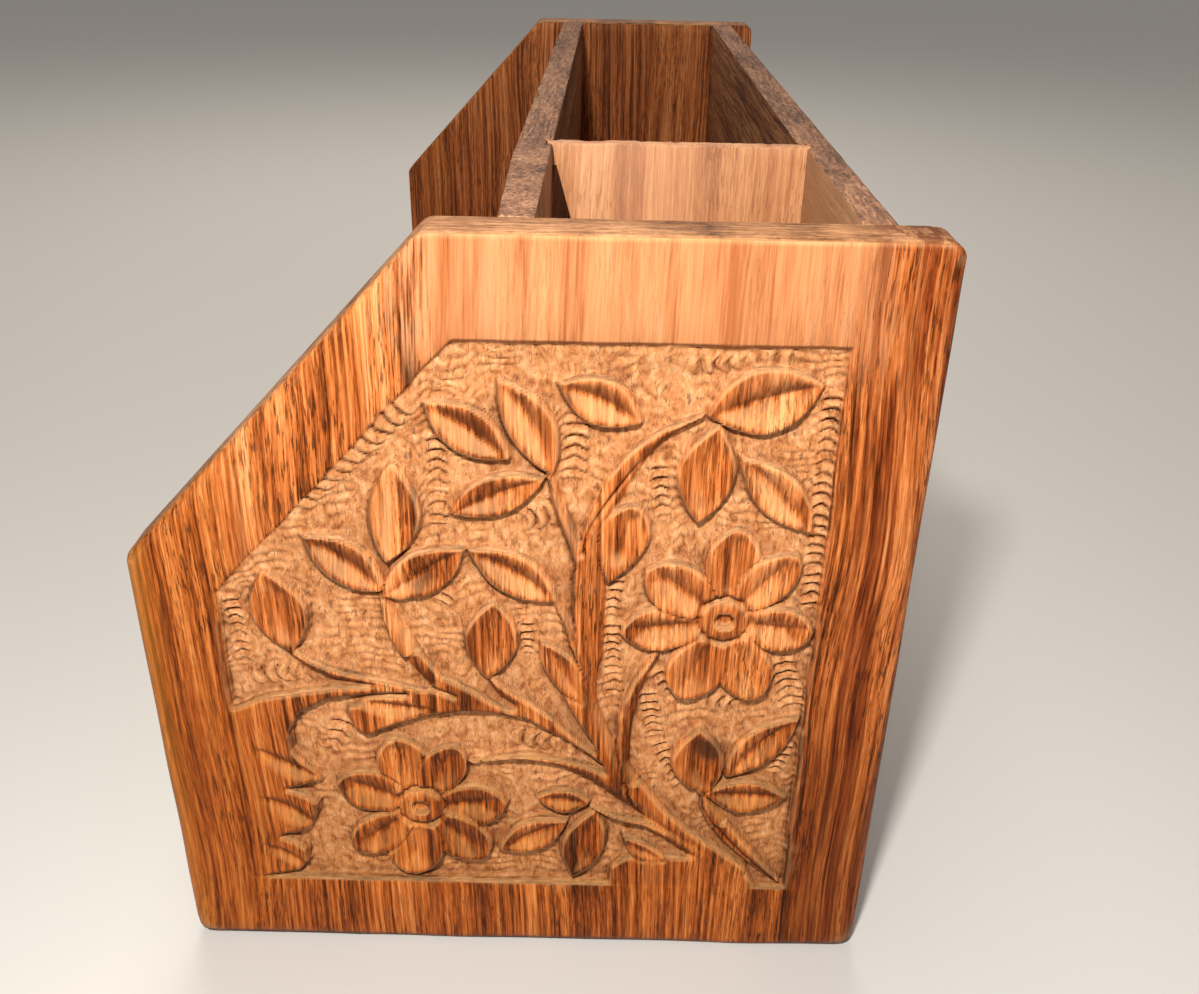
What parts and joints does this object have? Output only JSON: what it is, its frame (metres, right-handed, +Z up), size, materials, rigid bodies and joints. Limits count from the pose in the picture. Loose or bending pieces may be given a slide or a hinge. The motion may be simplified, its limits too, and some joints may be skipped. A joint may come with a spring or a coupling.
{
  "type": "wooden puzzle box",
  "caption": "Open-topped wooden puzzle box with carved five-sided ends, a deep trough with a loose divider, a sliding slat, a low tray and a hidden drawer locked by a sliding bolt.",
  "frame": {"origin": "middle of the footprint, on the surface that the box stands on", "axes": "+Z up; Y along the box, with the end that holds the divider, the well and the slat at -Y; -X is the front, where the end panels' corners are cut off and the drawer opens; +X is the back"},
  "size_m": [0.102, 0.2396, 0.1115],
  "materials": {
    "carved_panel": "oiled hardwood with orange-brown grain, dark streaks and lighter cut ground",
    "wall_board": "oiled hardwood, rough sawn top edges",
    "floor_board": "plain hardwood, unpolished",
    "divider_board": "pale mottled hardwood, sanded",
    "slat_board": "hardwood with end grain on top, rubbed grey",
    "hidden_wood": "plain light wood, unfinished",
    "bolt_wood": "close-grained hardwood, rubbed smooth"
  },
  "bodies": {
    "carcass": {"end_panel_near": "carved_panel", "end_panel_far": "carved_panel", "back_wall": "wall_board", "inner_wall": "wall_board", "base_board": "floor_board", "deck_board": "floor_board", "tray_lip": "wall_board", "slat_guide_near": "hidden_wood", "slat_guide_far": "hidden_wood", "deck_cleat_near": "hidden_wood", "deck_cleat_far": "hidden_wood", "bay_partition": "hidden_wood", "bolt_guide_near": "hidden_wood", "bolt_guide_far": "hidden_wood", "drawer_runner_near": "hidden_wood", "drawer_runner_far": "hidden_wood", "drawer_stop": "hidden_wood", "panel_dowels": "bolt_wood"},
    "divider": {"divider": "divider_board"},
    "key_slat": {"key_slat": "slat_board"},
    "bolt": {"lock_bolt": "bolt_wood", "bolt_peg": "bolt_wood"},
    "drawer": {"drawer_front": "wall_board", "drawer_side_near": "hidden_wood", "drawer_side_far": "hidden_wood", "drawer_back": "hidden_wood", "drawer_bottom": "hidden_wood"}
  },
  "joints": [
    {"name": "divider_lift", "type": "slide", "parent": "carcass", "child": "divider", "axis": [0, 0, 1], "range_m": [0, 0.066]},
    {"name": "key_slat_lift", "type": "slide", "parent": "carcass", "child": "key_slat", "axis": [0, 0, 1], "range_m": [0, 0.055]},
    {"name": "bolt_slide", "type": "slide", "parent": "carcass", "child": "bolt", "axis": [0, 1, 0], "range_m": [0, 0.009]},
    {"name": "drawer_slide", "type": "slide", "parent": "carcass", "child": "drawer", "axis": [-1, 0, 0], "range_m": [0, 0.069]}
  ]
}
